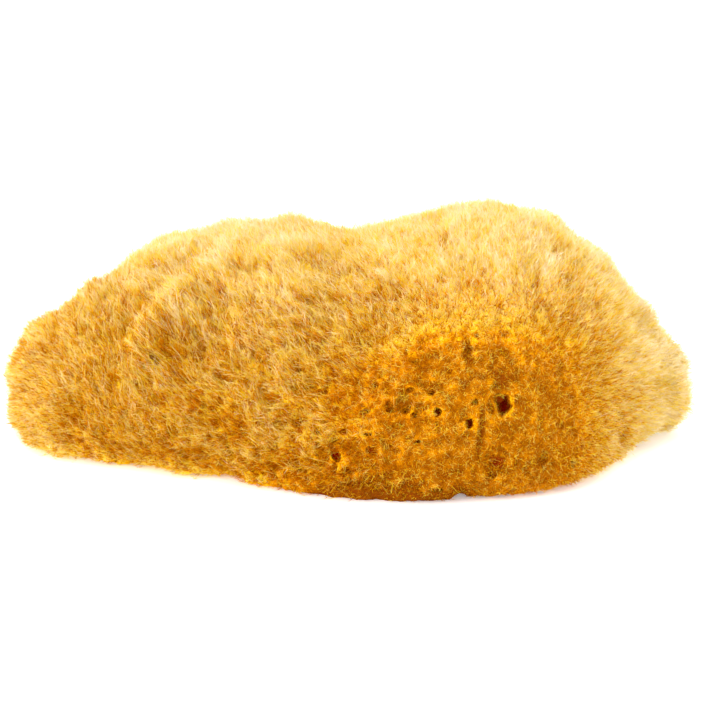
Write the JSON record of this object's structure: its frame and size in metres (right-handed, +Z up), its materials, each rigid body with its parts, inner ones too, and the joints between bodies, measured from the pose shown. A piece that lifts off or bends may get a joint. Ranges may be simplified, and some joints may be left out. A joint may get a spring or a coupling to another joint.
{
  "type": "sea sponge",
  "caption": "Natural bath sponge: a wide, low golden body with two humps and tufted fibres around open oscula, cut flat underneath, for washing or display.",
  "frame": {"origin": "centre of the bounding box in plan, on the plane of the flat cut that the sponge rests on", "axes": "+X along the sponge's length, towards its blunt end with the tall hump; +Y away from the front, where most of the oscula are; +Z up from the cut"},
  "size_m": [0.1505, 0.0843, 0.0532],
  "materials": {
    "spongin": "matte"
  },
  "bodies": {
    "root": {"sponge_body": "spongin"}
  },
  "joints": []
}
